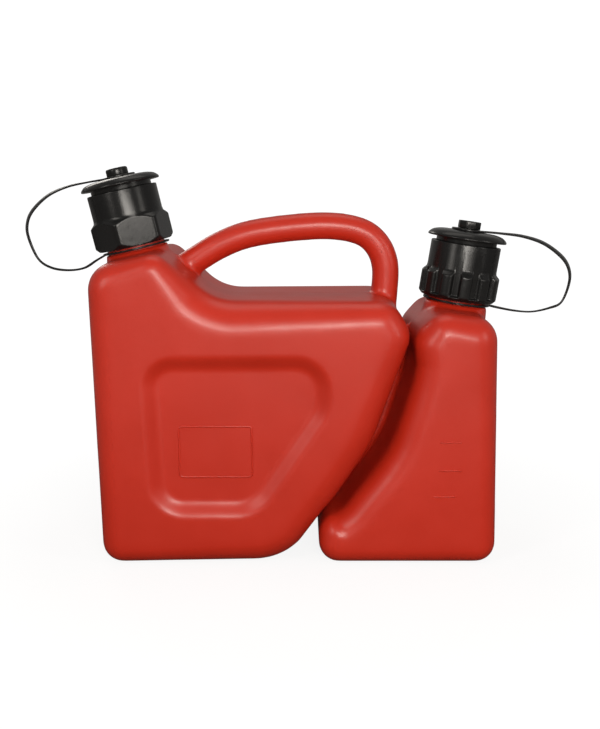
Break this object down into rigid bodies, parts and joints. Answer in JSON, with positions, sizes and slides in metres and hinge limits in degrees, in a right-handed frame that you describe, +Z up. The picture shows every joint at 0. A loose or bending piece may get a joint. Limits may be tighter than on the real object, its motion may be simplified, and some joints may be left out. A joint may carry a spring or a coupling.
{
  "type": "combination fuel can",
  "caption": "Blow-moulded combination can with a fuel tank, an oil tank, a loop handle, and screw caps with push-in stoppers on retaining straps.",
  "frame": {"origin": "middle of the whole can's bounding box, on the surface it stands on", "axes": "+X from the fuel tank to the oil tank, +Y to the back face, +Z up"},
  "size_m": [0.425, 0.13, 0.2993],
  "materials": {
    "red_polyethylene": "satin, fine mould texture",
    "black_cap": "satin gloss",
    "black_rubber": "matt",
    "black_strap": "satin"
  },
  "bodies": {
    "canister": {"canister_body": "red_polyethylene", "oil_tank": "red_polyethylene", "loop_handle": "red_polyethylene", "fuel_neck": "red_polyethylene", "oil_neck": "red_polyethylene"},
    "fuel_strap_body": {"fuel_strap": "black_strap"},
    "fuel_cap_body": {"fuel_cap": "black_cap", "fuel_cap_gasket": "black_rubber"},
    "fuel_stopper_body": {"fuel_stopper": "black_cap", "fuel_stopper_seal": "black_rubber"},
    "oil_strap_body": {"oil_strap": "black_strap"},
    "oil_cap_body": {"oil_cap": "black_cap", "oil_cap_gasket": "black_rubber"},
    "oil_stopper_body": {"oil_stopper": "black_cap", "oil_stopper_seal": "black_rubber"}
  },
  "joints": [
    {"name": "fuel_cap_turn", "type": "hinge", "parent": "canister", "child": "fuel_strap_body", "pos_m": [-0.12775, 0, 0.23944], "axis": [-0.2198, 0, 0.9755], "range_deg": [0, 720]},
    {"name": "fuel_cap_lift", "type": "slide", "parent": "fuel_strap_body", "child": "fuel_cap_body", "axis": [-0.2198, 0, 0.9755], "range_m": [0, 0.01], "deforming": ["fuel_strap"]},
    {"name": "fuel_stopper_pull", "type": "slide", "parent": "fuel_cap_body", "child": "fuel_stopper_body", "axis": [-0.2198, 0, 0.9755], "range_m": [0, 0.032]},
    {"name": "oil_cap_turn", "type": "hinge", "parent": "canister", "child": "oil_strap_body", "pos_m": [0.12346, 0, 0.19803], "axis": [0.1426, 0, 0.9898], "range_deg": [0, 720]},
    {"name": "oil_cap_lift", "type": "slide", "parent": "oil_strap_body", "child": "oil_cap_body", "axis": [0.1426, 0, 0.9898], "range_m": [0, 0.01], "deforming": ["oil_strap"]},
    {"name": "oil_stopper_pull", "type": "slide", "parent": "oil_cap_body", "child": "oil_stopper_body", "axis": [0.1426, 0, 0.9898], "range_m": [0, 0.032]}
  ],
  "couplings": [
    {"joint": "fuel_cap_turn", "follows": "fuel_cap_lift", "rad_per_m": 1256.6},
    {"joint": "oil_cap_turn", "follows": "oil_cap_lift", "rad_per_m": 1256.6}
  ]
}
